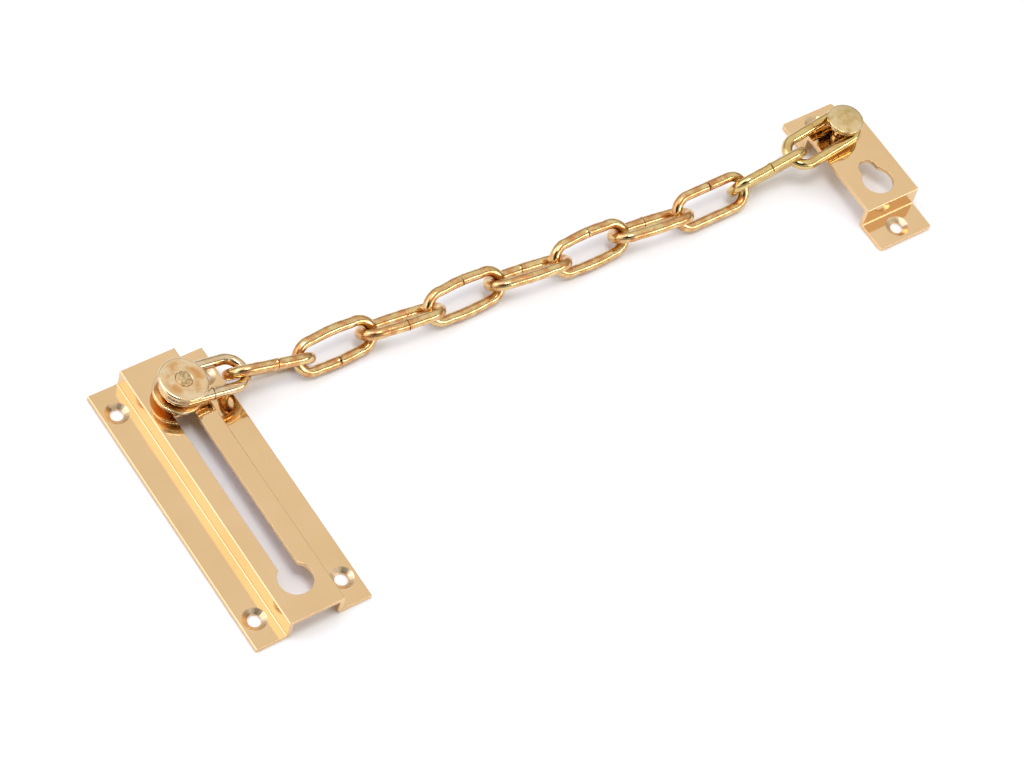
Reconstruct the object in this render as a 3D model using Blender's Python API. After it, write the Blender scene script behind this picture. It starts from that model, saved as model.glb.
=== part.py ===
"""Door chain of polished brass: slotted slide plate, runner, eleven oval wire links and keeper bracket.

The set lies on a table (z = 0) with the slide plate along Y, the chain along X and +Z up.
Sizes are in millimetres up to the last step, where every point is multiplied by MM.
"""

import math

import bmesh
import bpy
import numpy as np
from mathutils import Euler, Matrix, Vector

MM = 0.001
AIR = 0.3  # clearance left between two pieces that touch in the real thing
LINK_AIR = 0.2  # the same between two wires of the chain

# Slide plate: a folded strip, open at both ends
PLATE_LENGTH = 100.0
PLATE_WIDTH = 40.9
CHANNEL_WIDTH = 19.6
CHANNEL_HEIGHT = 8.4
SHEET = 1.57
FOLD_TOP_RADIUS = 0.45
FOLD_FOOT_RADIUS = 0.9
FOLD_STEPS = 4
FOLD_INNER_FOOT = 0.5  # the inner foot radius is larger by this share of the sheet
CUT_OVER = 1.0  # how far a cutter runs past a face

SLOT_WIDTH = 6.66
KEYHOLE_RADIUS = 5.63
KEYHOLE_FROM_BOTTOM = 12.7

SCREW_HOLE_RADIUS = 2.15
COUNTERSINK_RADIUS = 3.95
COUNTERSINK_DEPTH = 1.0
COUNTERSINK_OVER = 0.4
SCREW_FROM_SIDE = 5.03
SCREW_FROM_END = 9.35
HOLE_STEPS = 40

# Runner: a turned body in the slot, leaning with the pull of the chain
RUNNER_FROM_TOP = 15.6
RUNNER_SHIFT = 0.65
RUNNER_LEAN = 9.5
RUNNER_DIP = 3.4
NECK_RADIUS = 2.0
FOOT_RADIUS = 5.3
FOOT_THICKNESS = 1.5
FOOT_EDGE = 0.3
COLLAR_RADIUS = 8.0
COLLAR_THICKNESS = 1.3
COLLAR_EDGE = 0.45
SPIGOT_RADIUS = 3.0
LINK_GROOVE = 4.7
CAP_RADIUS = 8.1
CAP_THICKNESS = 2.1
CAP_EDGE = 0.85
TENON_RADIUS = 1.75
PEEN_RADIUS = 2.6
PEEN_HEIGHT = 0.5
PEEN_CROWN_RADIUS = 1.56
PEEN_SHOULDER_HEIGHT = 0.3
TURNED_STEPS = 56

# Chain: each link is one bent wire whose ends butt in the middle of a straight side
LINK_COUNT = 11
BUTT_ON_HIGH_SIDE = (2, 4, 5, 7, 9, 10, 11)  # the others have it on the low side
WIRE = 3.7
LINK_INNER_LENGTH = 24.2
LINK_INNER_WIDTH = 7.1
BUTT_GAP = 0.12
BEND_STEPS = 11
WIRE_SIDE_STEPS = 3  # 4 + 2 * this many sides round the wire
CONTACT_POINTS = 4  # points per step of the path when two wires are compared
CONTACT_STEP = 0.1
REACH_TRIES = 30
SIDEWAYS_TRIES = 14
LIFT_TRIES = 25

# How the links lie: turn seen from above, pitch with the far end down, roll about the length
CHAIN_TURN = -3.0
FLAT_TURN, FLAT_PITCH, FLAT_ROLL = 0.4, 0.5, 48.0
EDGE_TURN, EDGE_PITCH, EDGE_ROLL = -6.2, -0.5, 138.0
FIRST_TURN = -3.0
SECOND_TURN, SECOND_ROLL = -8.0, 119.0
TENTH_TURN, TENTH_ROLL = -0.5, 110.0
END_RISE = 1.0  # a sloping link's raised end stands this much above the end it hooks
SLOPE_ROUNDS = 4
LAST_TURN, LAST_PITCH, LAST_ROLL = 5.0, -4.5, 3.0

# Keeper: a smaller folded strip with a keyhole, and a riveted stud that holds the last link
KEEPER_LENGTH = 57.2
KEEPER_WIDTH = 21.5
KEEPER_FLANGE = 10.7
KEEPER_HEIGHT = 9.5
KEEPER_CORNER = 1.0
KEEPER_SWING_ROOM = 1.3  # the last link clears the keeper's edge out to this share of the half width
KEEPER_HOLE_FROM_END = 5.25
STUD_FROM_RAISED_END = 4.96
KEEPER_NARROW_RADIUS = 3.32
KEEPER_WIDE_FROM_RAISED_END = 9.18
KEEPER_NARROW_TO_WIDE = 5.43
KEEPER_WIDE_RADIUS = 5.45

STUD_SHANK_RADIUS = 2.5
STUD_HEAD_RADIUS = 6.1
STUD_HEAD_TOP = 18.0
STUD_HEAD_EDGE = 1.6
STUD_HEAD_DOME = 0.7
STUD_DOME_RINGS = (0.7, 0.4)  # shares of the head's radius
STUD_RIM = 0.5
STUD_RIM_STEPS = 3
STUD_RIM_END = 60.0
STUD_TENON_RADIUS = 1.8
STUD_TAIL_RADIUS = 2.9
STUD_TAIL_THICKNESS = 1.2

POLISHED_BRASS = (0.80, 0.58, 0.24, 1.0)
CHAIN_BRASS = (0.78, 0.50, 0.20, 1.0)
PALE_BRASS = (0.84, 0.66, 0.38, 1.0)


def clear_scene():
    for thing in list(bpy.data.objects):
        bpy.data.objects.remove(thing, do_unlink=True)


def new_collection(name):
    group = bpy.data.collections.new(name)
    bpy.context.scene.collection.children.link(group)
    return group


def brass(name, colour, roughness):
    material = bpy.data.materials.new(name)
    material.use_nodes = True
    shader = material.node_tree.nodes["Principled BSDF"]
    shader.inputs["Base Color"].default_value = colour
    shader.inputs["Metallic"].default_value = 1.0
    shader.inputs["Roughness"].default_value = roughness
    return material


def euler(turn, pitch, roll):
    angles = (math.radians(roll), math.radians(pitch), math.radians(turn))
    return Euler(angles, "XYZ").to_matrix()


def placed(turning, origin):
    return Matrix.Translation(origin) @ turning.to_4x4()


def add_piece(name, mesh, place, material, group, smooth=False):
    """Puts a mesh made in millimetres in the collection, in metres, at its place."""
    mesh.transform(Matrix.Scale(MM, 4))
    mesh.materials.clear()
    mesh.materials.append(material)
    for face in mesh.polygons:
        face.use_smooth = smooth
    piece = bpy.data.objects.new(name, mesh)
    piece.matrix_world = Matrix.Translation(place.translation * MM) @ place.to_3x3().to_4x4()
    group.objects.link(piece)
    return piece


def arc(centre_x, centre_y, radius, start, end, steps):
    points = []
    for step in range(steps + 1):
        angle = math.radians(start + (end - start) * step / steps)
        points.append((centre_x + radius * math.cos(angle), centre_y + radius * math.sin(angle)))
    return points


def extruded(outline, length):
    """A closed outline in x and y, extruded along +z from 0 to the length."""
    shape = bmesh.new()
    ring = [shape.verts.new((x, y, 0.0)) for x, y in outline]
    face = shape.faces.new(ring)
    grown = bmesh.ops.extrude_face_region(shape, geom=[face])
    moved = [part for part in grown["geom"] if isinstance(part, bmesh.types.BMVert)]
    bmesh.ops.translate(shape, vec=(0.0, 0.0, length), verts=moved)
    bmesh.ops.recalc_face_normals(shape, faces=shape.faces)
    mesh = bpy.data.meshes.new("extruded")
    shape.to_mesh(mesh)
    shape.free()
    return mesh


def turned(profile, steps=TURNED_STEPS):
    """A solid of revolution about z from (radius, height) points: axis to axis, or a closed ring's section."""
    shape = bmesh.new()
    rings = []
    for radius, height in profile:
        if radius == 0.0:
            rings.append([shape.verts.new((0.0, 0.0, height))])
            continue
        ring = []
        for step in range(steps):
            angle = 2.0 * math.pi * step / steps
            ring.append(shape.verts.new((radius * math.cos(angle), radius * math.sin(angle), height)))
        rings.append(ring)
    if profile[0][0] != 0.0:
        rings.append(rings[0])
    for lower, upper in zip(rings, rings[1:]):
        join_rings(shape, lower, upper, steps)
    bmesh.ops.recalc_face_normals(shape, faces=shape.faces)
    mesh = bpy.data.meshes.new("turned")
    shape.to_mesh(mesh)
    shape.free()
    return mesh


def join_rings(shape, lower, upper, steps):
    for step in range(steps):
        after = (step + 1) % steps
        if len(lower) == 1:
            shape.faces.new((lower[0], upper[after], upper[step]))
        elif len(upper) == 1:
            shape.faces.new((lower[step], lower[after], upper[0]))
        else:
            shape.faces.new((lower[step], lower[after], upper[after], upper[step]))


def cut(target_mesh, cutter_meshes, group):
    """The target with every cutter taken out of it, as a new mesh."""
    target = bpy.data.objects.new("target", target_mesh)
    group.objects.link(target)
    for number, cutter_mesh in enumerate(cutter_meshes):
        cutter = bpy.data.objects.new("cutter", cutter_mesh)
        cutter.display_type = "WIRE"
        cutter.hide_render = True
        group.objects.link(cutter)
        boolean = target.modifiers.new("cut %d" % number, "BOOLEAN")
        boolean.operation = "DIFFERENCE"
        boolean.solver = "EXACT"
        boolean.object = cutter
    bpy.context.view_layer.update()
    seen = target.evaluated_get(bpy.context.evaluated_depsgraph_get())
    result = bpy.data.meshes.new_from_object(seen)
    bpy.data.objects.remove(target, do_unlink=True)
    return result


def hat_outline(width, raised, height, sheet):
    """The section of a strip folded to a flange, a web, a raised part, a web and a flange."""
    half = width / 2.0
    side = raised / 2.0
    foot = FOLD_FOOT_RADIUS
    top = FOLD_TOP_RADIUS
    inner_foot = foot + sheet * FOLD_INNER_FOOT
    inner_top = top
    upper = [(half, sheet)]
    upper += arc(side + foot, sheet + foot, foot, 270.0, 180.0, FOLD_STEPS)
    upper += arc(side - top, height - top, top, 0.0, 90.0, FOLD_STEPS)
    lower = arc(side - sheet - inner_top, height - sheet - inner_top, inner_top, 90.0, 0.0, FOLD_STEPS)
    lower += arc(side - sheet + inner_foot, inner_foot, inner_foot, 180.0, 270.0, FOLD_STEPS)
    lower += [(half, 0.0)]
    left_upper = [(-x, z) for x, z in reversed(upper)]
    left_lower = [(-x, z) for x, z in reversed(lower)]
    return upper + left_upper + left_lower + lower


def folded_strip(length, width, raised, height):
    """A hat section whose ridge runs along y, its flanges on z = 0."""
    mesh = extruded(hat_outline(width, raised, height, SHEET), length)
    mesh.transform(Matrix.Rotation(math.radians(90.0), 4, "X"))
    mesh.transform(Matrix.Translation((0.0, length / 2.0, 0.0)))
    return mesh


def round_cutter(x, y, radius, low, high):
    mesh = turned([(0.0, low), (radius, low), (radius, high), (0.0, high)], HOLE_STEPS)
    mesh.transform(Matrix.Translation((x, y, 0.0)))
    return mesh


def screw_cutter(x, y, surface):
    """A clearance hole with a shallow countersink that opens at the given height."""
    seat = surface - COUNTERSINK_DEPTH
    slope = (COUNTERSINK_RADIUS - SCREW_HOLE_RADIUS) / COUNTERSINK_DEPTH
    top = surface + COUNTERSINK_OVER
    profile = [
        (0.0, -CUT_OVER),
        (SCREW_HOLE_RADIUS, -CUT_OVER),
        (SCREW_HOLE_RADIUS, seat),
        (COUNTERSINK_RADIUS + slope * COUNTERSINK_OVER, top),
        (0.0, top),
    ]
    mesh = turned(profile, HOLE_STEPS)
    mesh.transform(Matrix.Translation((x, y, 0.0)))
    return mesh


def slot_outline(narrow_y, narrow_radius, wide_y, wide_radius):
    """A keyhole: a slot with a round end at narrow_y that runs into a wider circle at wide_y."""
    toward = 1.0 if narrow_y > wide_y else -1.0
    points = arc(0.0, 0.0, narrow_radius, 0.0, 180.0, HOLE_STEPS // 2)
    outline = [(x, narrow_y + toward * y) for x, y in points]
    meet = math.degrees(math.asin(narrow_radius / wide_radius))
    round_end = arc(0.0, 0.0, wide_radius, 90.0 + meet, 450.0 - meet, HOLE_STEPS)
    outline += [(x, wide_y + toward * y) for x, y in round_end]
    return outline


def slot_cutter(narrow_y, narrow_radius, wide_y, wide_radius, low, high):
    mesh = extruded(slot_outline(narrow_y, narrow_radius, wide_y, wide_radius), high - low)
    mesh.transform(Matrix.Translation((0.0, 0.0, low)))
    return mesh


def runner_y():
    return PLATE_LENGTH / 2.0 - RUNNER_FROM_TOP


def slide_plate_mesh(group):
    blank = folded_strip(PLATE_LENGTH, PLATE_WIDTH, CHANNEL_WIDTH, CHANNEL_HEIGHT)
    hole_x = PLATE_WIDTH / 2.0 - SCREW_FROM_SIDE
    hole_y = PLATE_LENGTH / 2.0 - SCREW_FROM_END
    cutters = [screw_cutter(x, y, SHEET) for x in (-hole_x, hole_x) for y in (-hole_y, hole_y)]
    keyhole_y = KEYHOLE_FROM_BOTTOM - PLATE_LENGTH / 2.0
    under = CHANNEL_HEIGHT - 2.0 * SHEET
    over = CHANNEL_HEIGHT + CUT_OVER
    cutters.append(slot_cutter(runner_y() + AIR, SLOT_WIDTH / 2.0, keyhole_y, KEYHOLE_RADIUS, under, over))
    return cut(blank, cutters, group)


def runner_heights():
    """Distances along the runner's own axis from the middle of the plate's thickness."""
    lean = math.radians(RUNNER_LEAN)
    half_sheet = SHEET / 2.0 + AIR
    collar_low = (half_sheet + COLLAR_RADIUS * math.sin(lean)) / math.cos(lean)
    foot_top = -(half_sheet + FOOT_RADIUS * math.sin(lean)) / math.cos(lean)
    collar_top = collar_low + COLLAR_THICKNESS
    cap_low = collar_top + LINK_GROOVE
    return foot_top, collar_low, collar_top, cap_low


def runner_body_mesh():
    """Foot, neck, collar, spigot, and the tenon whose end is peened over the cap."""
    foot_top, collar_low, collar_top, cap_low = runner_heights()
    foot_low = foot_top - FOOT_THICKNESS
    cap_top = cap_low + CAP_THICKNESS
    peen_low = cap_top + AIR
    profile = [
        (0.0, foot_low),
        (FOOT_RADIUS - FOOT_EDGE, foot_low),
        (FOOT_RADIUS, foot_low + FOOT_EDGE),
        (FOOT_RADIUS, foot_top - FOOT_EDGE),
        (FOOT_RADIUS - FOOT_EDGE, foot_top),
        (NECK_RADIUS, foot_top),
        (NECK_RADIUS, collar_low),
        (COLLAR_RADIUS - COLLAR_EDGE, collar_low),
        (COLLAR_RADIUS, collar_low + COLLAR_EDGE),
        (COLLAR_RADIUS, collar_top - COLLAR_EDGE),
        (COLLAR_RADIUS - COLLAR_EDGE, collar_top),
        (SPIGOT_RADIUS, collar_top),
        (SPIGOT_RADIUS, cap_low - AIR),
        (TENON_RADIUS, cap_low - AIR),
        (TENON_RADIUS, peen_low),
        (PEEN_RADIUS, peen_low),
        (PEEN_RADIUS, peen_low + PEEN_SHOULDER_HEIGHT),
        (PEEN_CROWN_RADIUS, peen_low + PEEN_HEIGHT),
        (0.0, peen_low + PEEN_HEIGHT),
    ]
    return turned(profile)


def runner_cap_mesh():
    """A disc with a flat face, rounded edge and a bore for the tenon."""
    cap_low = runner_heights()[3]
    cap_top = cap_low + CAP_THICKNESS
    bore = TENON_RADIUS + AIR
    flat = CAP_RADIUS - CAP_EDGE
    profile = [(bore, cap_low), (flat, cap_low), (CAP_RADIUS, cap_low + CAP_EDGE)]
    profile += arc(flat, cap_top - CAP_EDGE, CAP_EDGE, 0.0, 90.0, FOLD_STEPS)
    profile += [(bore, cap_top)]
    return turned(profile)


def link_path():
    """The wire's centre line, from one butted end round to the other, in the link's own x and y."""
    bend = (LINK_INNER_WIDTH + WIRE) / 2.0
    half_straight = (LINK_INNER_LENGTH + WIRE) / 2.0 - bend
    path = [(-BUTT_GAP / 2.0, -bend)]
    path += arc(-half_straight, 0.0, bend, 270.0, 90.0, BEND_STEPS)
    path += [(0.0, bend)]
    path += arc(half_straight, 0.0, bend, 90.0, -90.0, BEND_STEPS)
    path += [(BUTT_GAP / 2.0, -bend)]
    return path


def link_mesh():
    curve = bpy.data.curves.new("link wire", "CURVE")
    curve.dimensions = "3D"
    curve.bevel_depth = WIRE / 2.0
    curve.bevel_resolution = WIRE_SIDE_STEPS
    curve.use_fill_caps = True
    path = link_path()
    spline = curve.splines.new("POLY")
    spline.points.add(len(path) - 1)
    for point, (x, y) in zip(spline.points, path):
        point.co = (x, y, 0.0, 1.0)
    wire = bpy.data.objects.new("link wire", curve)
    mesh = bpy.data.meshes.new_from_object(wire)
    bpy.data.objects.remove(wire, do_unlink=True)
    shape = bmesh.new()
    shape.from_mesh(mesh)
    bmesh.ops.remove_doubles(shape, verts=shape.verts, dist=0.0001)
    bmesh.ops.recalc_face_normals(shape, faces=shape.faces)
    shape.to_mesh(mesh)
    shape.free()
    return mesh


def half_link():
    """From a link's centre to the middle of the wire at its end."""
    return (LINK_INNER_LENGTH + WIRE) / 2.0


def standing_height(turning):
    """Height of a link's centre when its lowest point touches the table."""
    return WIRE / 2.0 - min((turning @ Vector((x, y, 0.0))).z for x, y in link_path())


def sloping(turn, roll, end_height, which_end):
    """Turning of a link on the table with one end (-1 near, 1 far) raised to a height."""
    pitch = 0.0
    for _ in range(SLOPE_ROUNDS):
        rise = end_height - standing_height(euler(turn, pitch, roll))
        pitch = -which_end * math.degrees(math.asin(rise / half_link()))
    return euler(turn, pitch, roll)


def first_link():
    """Turning and centre of the link round the spigot, drawn towards the keeper."""
    runner = euler(0.0, RUNNER_LEAN, RUNNER_DIP)
    collar_top, cap_low = runner_heights()[2:]
    pivot = Vector((RUNNER_SHIFT, runner_y(), CHANNEL_HEIGHT - SHEET / 2.0))
    on_spigot = pivot + runner @ Vector((0.0, 0.0, (collar_top + cap_low) / 2.0))
    turning = runner @ euler(FIRST_TURN, 0.0, 0.0)
    return turning, on_spigot + turning.col[0] * (half_link() - SPIGOT_RADIUS - AIR - WIRE / 2.0)


def last_link_height(turning):
    """Height of the last link's centre, clear of the keeper's edge where it crosses it."""
    crossing = KEEPER_WIDTH / 2.0 * KEEPER_SWING_ROOM
    from_stud = LINK_INNER_LENGTH / 2.0 - STUD_SHANK_RADIUS - AIR
    rolled = abs(turning.col[1].z) * (LINK_INNER_WIDTH + WIRE) / 2.0
    on_edge = KEEPER_HEIGHT + AIR + WIRE / 2.0
    return on_edge + rolled + turning.col[0].z * (crossing - from_stud)


def link_turnings():
    """The rotation of each link, first to last."""
    first, centre = first_link()
    last = euler(LAST_TURN, LAST_PITCH, LAST_ROLL)
    first_end = centre.z + first.col[0].z * half_link()
    last_end = last_link_height(last) - last.col[0].z * half_link()
    flat = euler(FLAT_TURN, FLAT_PITCH, FLAT_ROLL)
    edge = euler(EDGE_TURN, EDGE_PITCH, EDGE_ROLL)
    turnings = [first, sloping(SECOND_TURN, SECOND_ROLL, first_end + END_RISE, -1)]
    for number in range(3, LINK_COUNT - 1):
        turnings.append(flat if number % 2 else edge)
    turnings.append(sloping(TENTH_TURN, TENTH_ROLL, last_end + END_RISE, 1))
    turnings.append(last)
    return turnings


def link_heights(turnings, first_height):
    heights = [first_height]
    for number in range(2, LINK_COUNT):
        turning = turnings[number - 1]
        heights.append(standing_height(turning))
    heights.append(last_link_height(turnings[-1]))
    return heights


def wire_points(turning, centre):
    """Closely spaced points on the centre line of a link that lies with this turning and centre."""
    path = link_path()
    points = []
    for (x0, y0), (x1, y1) in zip(path, path[1:]):
        for step in range(CONTACT_POINTS):
            share = step / CONTACT_POINTS
            points.append((x0 + (x1 - x0) * share, y0 + (y1 - y0) * share, 0.0))
    return np.array(points) @ np.array(turning).T + np.array(centre)


def wires_apart(first, second):
    """Smallest distance between the centre lines of two links."""
    between = first[:, None, :] - second[None, :, :]
    return math.sqrt((between ** 2).sum(axis=2).min())


def tightest_centre(far_end, to_centre, height, before, near_wire):
    """Centre of the next link at this height, as tight along the chain as leaves LINK_AIR, or None."""
    along = Vector((math.cos(math.radians(CHAIN_TURN)), math.sin(math.radians(CHAIN_TURN)), 0.0))
    across = Vector((-along.y, along.x, 0.0))
    tightest = None
    for sideways in range(-SIDEWAYS_TRIES, SIDEWAYS_TRIES + 1):
        for back in range(REACH_TRIES):
            reach = WIRE + back * CONTACT_STEP
            shift = abs(sideways) * CONTACT_STEP
            if tightest and reach + shift >= tightest[0]:
                break
            near_end = far_end - along * reach + across * (sideways * CONTACT_STEP)
            centre = Vector((near_end.x + to_centre.x, near_end.y + to_centre.y, height))
            if wires_apart(before, near_wire + np.array(centre)) >= WIRE + LINK_AIR:
                tightest = (reach + shift, centre)
    return tightest[1] if tightest else None


def next_centre(far_end, to_centre, height, before, turning):
    """Centre of the next link, lifted from its own height only as far as the two wires need."""
    near_wire = wire_points(turning, Vector((0.0, 0.0, 0.0)))
    for lift in range(LIFT_TRIES):
        raised = height + lift * CONTACT_STEP
        centre = tightest_centre(far_end, to_centre, raised, before, near_wire)
        if centre:
            return centre
    raise ValueError("two links cannot hook into each other at x = %.1f" % far_end.x)


def chain_places():
    """Turning and centre of each link, with the slide plate's middle at x = y = 0, and the stud's centre."""
    turnings = link_turnings()
    half = half_link()
    centres = [first_link()[1]]
    heights = link_heights(turnings, centres[0].z)
    for number in range(1, LINK_COUNT):
        far_end = centres[-1] + turnings[number - 1].col[0] * half
        to_centre = turnings[number].col[0] * half
        before = wire_points(turnings[number - 1], centres[-1])
        centres.append(next_centre(far_end, to_centre, heights[number], before, turnings[number]))
    past_stud = STUD_SHANK_RADIUS + AIR + WIRE / 2.0
    stud = centres[-1] + turnings[-1].col[0] * (half - past_stud)
    return turnings, centres, stud


def keeper_raised():
    return KEEPER_LENGTH - 2.0 * KEEPER_FLANGE


def stud_from_centre():
    return keeper_raised() / 2.0 - STUD_FROM_RAISED_END


def keeper_plate_mesh(group):
    """Modelled with its length along y; the screw hole next to the stud is at the +y end."""
    length = KEEPER_LENGTH
    blank = folded_strip(KEEPER_WIDTH, length, keeper_raised(), KEEPER_HEIGHT)
    blank.transform(Matrix.Rotation(math.radians(90.0), 4, "Z"))
    outline = rounded_rectangle(KEEPER_WIDTH, length, KEEPER_CORNER)
    frame = extruded(outline, KEEPER_HEIGHT + 2.0 * CUT_OVER)
    frame.transform(Matrix.Translation((0.0, 0.0, -CUT_OVER)))
    rounded = keep_inside(blank, frame, group)
    hole_y = length / 2.0 - KEEPER_HOLE_FROM_END
    cutters = [screw_cutter(0.0, y, SHEET) for y in (-hole_y, hole_y)]
    under = KEEPER_HEIGHT - 2.0 * SHEET
    over = KEEPER_HEIGHT + CUT_OVER
    wide_y = KEEPER_WIDE_FROM_RAISED_END - keeper_raised() / 2.0
    cutters.append(
        slot_cutter(
            wide_y + KEEPER_NARROW_TO_WIDE,
            KEEPER_NARROW_RADIUS,
            wide_y,
            KEEPER_WIDE_RADIUS,
            under,
            over,
        )
    )
    cutters.append(round_cutter(0.0, stud_from_centre(), STUD_TENON_RADIUS + AIR, under, over))
    return cut(rounded, cutters, group)


def rounded_rectangle(width, length, corner):
    x = width / 2.0 - corner
    y = length / 2.0 - corner
    outline = arc(x, y, corner, 0.0, 90.0, FOLD_STEPS)
    outline += arc(-x, y, corner, 90.0, 180.0, FOLD_STEPS)
    outline += arc(-x, -y, corner, 180.0, 270.0, FOLD_STEPS)
    outline += arc(x, -y, corner, 270.0, 360.0, FOLD_STEPS)
    return outline


def keep_inside(target_mesh, limit_mesh, group):
    target = bpy.data.objects.new("target", target_mesh)
    limit = bpy.data.objects.new("limit", limit_mesh)
    limit.display_type = "WIRE"
    limit.hide_render = True
    group.objects.link(target)
    group.objects.link(limit)
    boolean = target.modifiers.new("keep", "BOOLEAN")
    boolean.operation = "INTERSECT"
    boolean.solver = "EXACT"
    boolean.object = limit
    bpy.context.view_layer.update()
    seen = target.evaluated_get(bpy.context.evaluated_depsgraph_get())
    result = bpy.data.meshes.new_from_object(seen)
    bpy.data.objects.remove(target, do_unlink=True)
    return result


def keeper_stud_mesh():
    """Riveted tail under the plate, tenon through it, shank and a mushroom head over the last link."""
    tail_top = KEEPER_HEIGHT - SHEET - AIR
    tail_low = tail_top - STUD_TAIL_THICKNESS
    head_edge_top = STUD_HEAD_TOP - STUD_HEAD_DOME
    head_low = head_edge_top - STUD_HEAD_EDGE
    profile = [
        (0.0, tail_low),
        (STUD_TAIL_RADIUS - STUD_RIM, tail_low),
        (STUD_TAIL_RADIUS, tail_low + STUD_RIM),
        (STUD_TAIL_RADIUS, tail_top),
        (STUD_TENON_RADIUS, tail_top),
        (STUD_TENON_RADIUS, KEEPER_HEIGHT + AIR),
        (STUD_SHANK_RADIUS, KEEPER_HEIGHT + AIR),
        (STUD_SHANK_RADIUS, head_low),
            ]
    inside = STUD_HEAD_RADIUS - STUD_RIM
    profile += arc(inside, head_low + STUD_RIM, STUD_RIM, 270.0, 360.0, STUD_RIM_STEPS)
    profile += arc(inside, head_edge_top - STUD_RIM, STUD_RIM, 0.0, STUD_RIM_END, STUD_RIM_STEPS)
    for share in STUD_DOME_RINGS:
        profile.append((STUD_HEAD_RADIUS * share, STUD_HEAD_TOP - STUD_HEAD_DOME * share ** 2))
    profile.append((0.0, STUD_HEAD_TOP))
    return turned(profile)


def build():
    clear_scene()
    parts = new_collection("Door chain")
    cutters = new_collection("Cutters")
    polished = brass("polished brass", POLISHED_BRASS, 0.16)
    drawn = brass("chain brass", CHAIN_BRASS, 0.20)
    pale = brass("pale brass", PALE_BRASS, 0.28)

    turnings, centres, stud = chain_places()
    left = -PLATE_WIDTH / 2.0
    right = stud.x + KEEPER_WIDTH / 2.0
    shift = Vector((-(left + right) / 2.0, 0.0, 0.0))

    none = Matrix.Identity(3)
    add_piece("slide_plate", slide_plate_mesh(cutters), placed(none, shift), polished, parts)

    runner = euler(0.0, RUNNER_LEAN, RUNNER_DIP)
    pivot = shift + Vector((RUNNER_SHIFT, runner_y(), CHANNEL_HEIGHT - SHEET / 2.0))
    add_piece("runner_body", runner_body_mesh(), placed(runner, pivot), pale, parts, True)
    add_piece("runner_cap", runner_cap_mesh(), placed(runner, pivot), pale, parts, True)

    half = half_link()
    for number in range(LINK_COUNT):
        mesh = link_mesh()
        centre = centres[number]
        if number == 0:
            origin = pivot - shift
        else:
            origin = centres[number - 1] + turnings[number - 1].col[0] * half
        inside = turnings[number].transposed() @ (centre - origin)
        if number + 1 in BUTT_ON_HIGH_SIDE:
            mesh.transform(Matrix.Rotation(math.pi, 4, "X"))
        mesh.transform(Matrix.Translation(inside))
        name = "chain_link_%02d" % (number + 1)
        add_piece(name, mesh, placed(turnings[number], origin + shift), drawn, parts, True)

    on_table = Vector((1.0, 1.0, 0.0))
    stud_foot = shift + stud * on_table
    keeper = keeper_plate_mesh(cutters)
    keeper.transform(Matrix.Translation((0.0, -stud_from_centre(), 0.0)))
    add_piece("keeper_plate", keeper, placed(none, stud_foot), polished, parts)
    add_piece("keeper_stud", keeper_stud_mesh(), placed(none, stud_foot), pale, parts, True)


build()
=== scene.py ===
"""Looks of the door chain: folded brass plates, turned runner and stud, and eleven bent wire links.

Each piece is made in millimetres about an origin of its own, and piece() brings it to its place in metres.
"""

import math
import random

import bmesh
import bpy
import numpy as np
from mathutils import Euler, Matrix, Vector, noise

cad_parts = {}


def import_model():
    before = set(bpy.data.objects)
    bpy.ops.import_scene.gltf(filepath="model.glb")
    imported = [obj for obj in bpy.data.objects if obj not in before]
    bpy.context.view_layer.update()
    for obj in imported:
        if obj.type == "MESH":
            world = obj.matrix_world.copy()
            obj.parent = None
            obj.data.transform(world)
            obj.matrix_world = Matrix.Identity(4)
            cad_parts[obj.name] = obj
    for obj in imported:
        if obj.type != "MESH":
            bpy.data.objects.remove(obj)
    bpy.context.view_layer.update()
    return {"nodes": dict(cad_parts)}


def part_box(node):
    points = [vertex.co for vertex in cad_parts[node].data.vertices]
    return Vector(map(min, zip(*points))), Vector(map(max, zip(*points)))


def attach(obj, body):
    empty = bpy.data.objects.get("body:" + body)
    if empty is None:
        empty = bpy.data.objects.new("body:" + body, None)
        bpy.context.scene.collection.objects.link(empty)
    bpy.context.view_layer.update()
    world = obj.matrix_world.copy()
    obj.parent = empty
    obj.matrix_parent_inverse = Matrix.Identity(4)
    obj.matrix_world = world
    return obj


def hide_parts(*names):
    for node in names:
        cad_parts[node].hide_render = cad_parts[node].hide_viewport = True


MM = 0.001
AIR = 0.3  # between pieces that would touch
JOIN = 0.001  # points closer than this are one point
SHARP = 28.0  # degrees between faces, above which an edge stays sharp
RIM = 0.2  # rounding of a cut or sheared edge
RIM_STEPS = 4
RIM_ANGLE = 40.0
CUT_OVER = 1.0  # how far a cutter reaches past the sheet

# Slide plate
PLATE_LENGTH = 100.0
PLATE_WIDTH = 40.9
CHANNEL_WIDTH = 19.6
CHANNEL_HEIGHT = 8.4
SHEET = 1.57
FOLD_TOP_RADIUS = 0.45
FOLD_FOOT_RADIUS = 0.4
FOLD_INNER_FOOT = 0.8
FOLD_STEPS = 8
ROLLED_EDGE = 0.38  # rounding of the slide plate's long outer edges
SLOT_WIDTH = 6.66
KEYHOLE_RADIUS = 5.63
KEYHOLE_FROM_BOTTOM = 12.7
SCREW_HOLE_RADIUS = 2.15
COUNTERSINK_RADIUS = 3.95
COUNTERSINK_DEPTH = 1.0
COUNTERSINK_OVER = 0.4
SCREW_FROM_SIDE = 5.03
SCREW_FROM_END = 9.35
HOLE_STEPS = 96

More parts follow.
